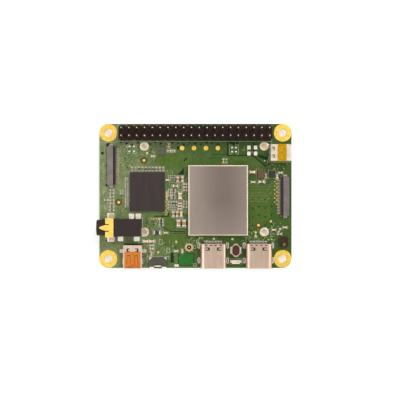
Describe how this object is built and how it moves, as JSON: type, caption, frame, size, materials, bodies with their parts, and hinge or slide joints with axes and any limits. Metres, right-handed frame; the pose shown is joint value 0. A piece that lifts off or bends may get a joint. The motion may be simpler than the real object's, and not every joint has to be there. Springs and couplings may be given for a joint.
{
  "type": "single board computer",
  "caption": "Small rectangular computer board with corner mounting holes, pin header, shielded module, ribbon cable, serial, display and audio connectors, buttons and a screw terminal.",
  "frame": {"origin": "middle of the four mounting holes, on the underside of the board", "axes": "+X towards the screw terminal edge, +Y towards the pin header edge, +Z out of the populated face"},
  "size_m": [0.0645, 0.0481, 0.0112],
  "materials": {
    "board_laminate": "solder-masked glass laminate, satin",
    "gold_plating": "gold plated, smooth",
    "black_moulding": "fine moulded",
    "grey_moulding": "fine moulded",
    "white_moulding": "fine moulded",
    "cream_moulding": "fine moulded",
    "maroon_moulding": "fine moulded",
    "chip_laminate": "laminate edge",
    "chip_mould": "moulded epoxy",
    "shield_metal": "satin nickel silver",
    "connector_steel": "bright nickel plate",
    "switch_cover_metal": "dull plate",
    "tinned_metal": "tin plate",
    "clamp_metal": "nickel plated",
    "microphone_metal": "dull plate",
    "oscillator_can": "dull plate",
    "orange_film": "polyimide film",
    "yellow_film": "polyimide film",
    "lamp_lens": "clear epoxy",
    "inductor_ferrite": "pressed ferrite",
    "capacitor_ceramic": "fired ceramic",
    "resistor_body": "glazed ceramic"
  },
  "bodies": {
    "board": {"accelerator_chip": "chip_mould", "antenna_socket_base": "cream_moulding", "antenna_socket_contacts": "gold_plating", "audio_jack_collar": "gold_plating", "audio_jack_contacts": "tinned_metal", "audio_jack_housing": "black_moulding", "camera_connector_contacts": "tinned_metal", "camera_connector_housing": "grey_moulding", "ceramic_capacitors": "capacitor_ceramic", "chip_resistors": "resistor_body", "circuit_board": "board_laminate", "crystal_oscillators": "oscillator_can", "display_connector_contacts": "tinned_metal", "display_connector_housing": "grey_moulding", "hdmi_contacts": "gold_plating", "hdmi_insulator": "black_moulding", "hdmi_shell": "connector_steel", "hdmi_tape": "orange_film", "header_housing": "black_moulding", "header_pins": "gold_plating", "memory_laminate": "chip_laminate", "memory_mould": "chip_mould", "microphone_can": "microphone_metal", "microphone_laminate": "chip_laminate", "power_inductor": "inductor_ferrite", "power_manager_chip": "chip_mould", "power_switch_case": "black_moulding", "power_switch_cover": "switch_cover_metal", "processor_laminate": "chip_laminate", "processor_mould": "chip_mould", "radio_chip": "chip_mould", "regulator_chip": "chip_mould", "shield_frame": "shield_metal", "shield_lid": "shield_metal", "soldered_nuts": "tinned_metal", "status_led_case": "white_moulding", "status_led_lens": "lamp_lens", "storage_laminate": "chip_laminate", "storage_mould": "chip_mould", "switch_terminals": "tinned_metal", "terminal_contacts": "tinned_metal", "terminal_housing": "white_moulding", "terminal_tape": "yellow_film", "usb_data_contacts": "gold_plating", "usb_data_insulator": "black_moulding", "usb_data_shell": "connector_steel", "usb_power_contacts": "gold_plating", "usb_power_insulator": "black_moulding", "usb_power_shell": "connector_steel", "user_button_base": "black_moulding", "user_button_cover": "connector_steel"},
    "camera_lock": {"camera_connector_lock": "black_moulding"},
    "display_lock": {"display_connector_lock": "black_moulding"},
    "switch_plunger": {"power_switch_plunger": "black_moulding"},
    "button_cap": {"user_button_cap": "maroon_moulding"},
    "screw_1": {"terminal_screw_1": "tinned_metal"},
    "screw_2": {"terminal_screw_2": "tinned_metal"},
    "cage_1": {"terminal_cage_1": "clamp_metal"},
    "cage_2": {"terminal_cage_2": "clamp_metal"}
  },
  "joints": [
    {"name": "camera_lock_flip", "type": "hinge", "parent": "board", "child": "camera_lock", "pos_m": [-0.0271, 0.01, 0.00195], "axis": [0, -1, 0], "range_deg": [0, 90]},
    {"name": "display_lock_flip", "type": "hinge", "parent": "board", "child": "display_lock", "pos_m": [0.0289, -0.00015, 0.00195], "axis": [0, 1, 0], "range_deg": [0, 90]},
    {"name": "power_switch_press", "type": "slide", "parent": "board", "child": "switch_plunger", "axis": [0, 1, 0], "range_m": [0, 0.0002], "stiffness_N_per_m": 600, "springref_m": -0.0002},
    {"name": "user_button_press", "type": "slide", "parent": "board", "child": "button_cap", "axis": [0, 0, -1], "range_m": [0, 0.00025], "stiffness_N_per_m": 600, "springref_m": -0.0002},
    {"name": "terminal_screw_1_turn", "type": "hinge", "parent": "board", "child": "screw_1", "pos_m": [0.0282, 0.01298, 0.0052], "axis": [0, 0, -1], "range_deg": [0, 720]},
    {"name": "terminal_cage_1_rise", "type": "slide", "parent": "board", "child": "cage_1", "axis": [0, 0, 1], "range_m": [0, 0.0008]},
    {"name": "terminal_screw_2_turn", "type": "hinge", "parent": "board", "child": "screw_2", "pos_m": [0.0282, 0.01552, 0.0052], "axis": [0, 0, -1], "range_deg": [0, 720]},
    {"name": "terminal_cage_2_rise", "type": "slide", "parent": "board", "child": "cage_2", "axis": [0, 0, 1], "range_m": [0, 0.0008]}
  ],
  "couplings": [
    {"joint": "terminal_screw_1_turn", "follows": "terminal_cage_1_rise", "rad_per_m": 15707},
    {"joint": "terminal_screw_2_turn", "follows": "terminal_cage_2_rise", "rad_per_m": 15707}
  ]
}
